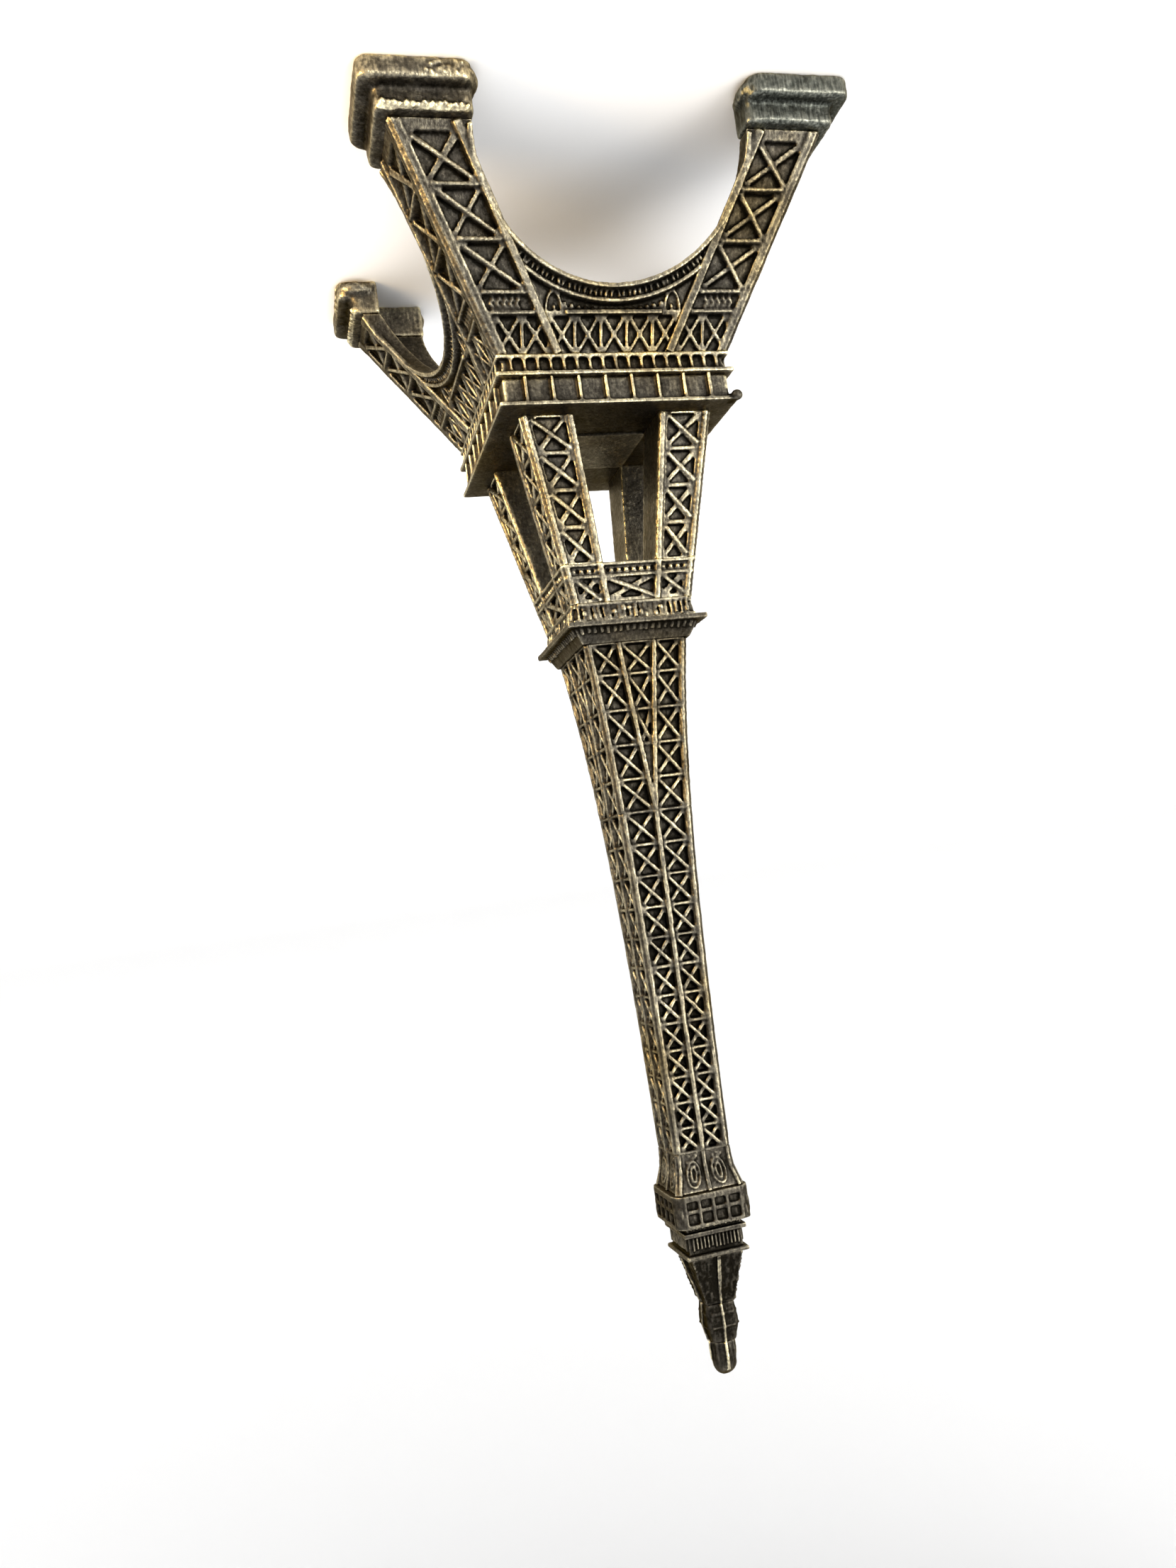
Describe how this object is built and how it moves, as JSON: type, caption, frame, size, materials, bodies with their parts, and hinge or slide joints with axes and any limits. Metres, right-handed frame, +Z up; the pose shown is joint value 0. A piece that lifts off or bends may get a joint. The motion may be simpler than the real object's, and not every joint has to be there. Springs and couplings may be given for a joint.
{
  "type": "lattice tower model",
  "caption": "Small cast metal model of a four-legged iron lattice tower, with great arches, two platforms, braced relief and a slim shaft.",
  "frame": {"origin": "middle of the square footprint, on the ground the four feet stand on", "axes": "+Z up the tower's axis to the finial; the four faces look along -Y, +X, +Y and -X"},
  "size_m": [0.037, 0.037, 0.0965],
  "materials": {
    "antiqued_brass": "antiqued, dark in the recesses and rubbed bright on the raised members"
  },
  "bodies": {
    "root": {"arch_back": "antiqued_brass", "arch_front": "antiqued_brass", "arch_left": "antiqued_brass", "arch_right": "antiqued_brass", "baluster_gallery": "antiqued_brass", "cabin": "antiqued_brass", "cabin_roof": "antiqued_brass", "finial": "antiqued_brass", "foot_back_left": "antiqued_brass", "foot_back_right": "antiqued_brass", "foot_front_left": "antiqued_brass", "foot_front_right": "antiqued_brass", "lantern": "antiqued_brass", "leg_back_left": "antiqued_brass", "leg_back_right": "antiqued_brass", "leg_front_left": "antiqued_brass", "leg_front_right": "antiqued_brass", "lower_shaft": "antiqued_brass", "panelled_gallery": "antiqued_brass", "post_back_left": "antiqued_brass", "post_back_right": "antiqued_brass", "post_front_left": "antiqued_brass", "post_front_right": "antiqued_brass", "second_gallery": "antiqued_brass", "second_ledge": "antiqued_brass", "shaft_head": "antiqued_brass", "top_gallery": "antiqued_brass", "upper_shaft": "antiqued_brass", "window_lintel": "antiqued_brass"}
  },
  "joints": []
}
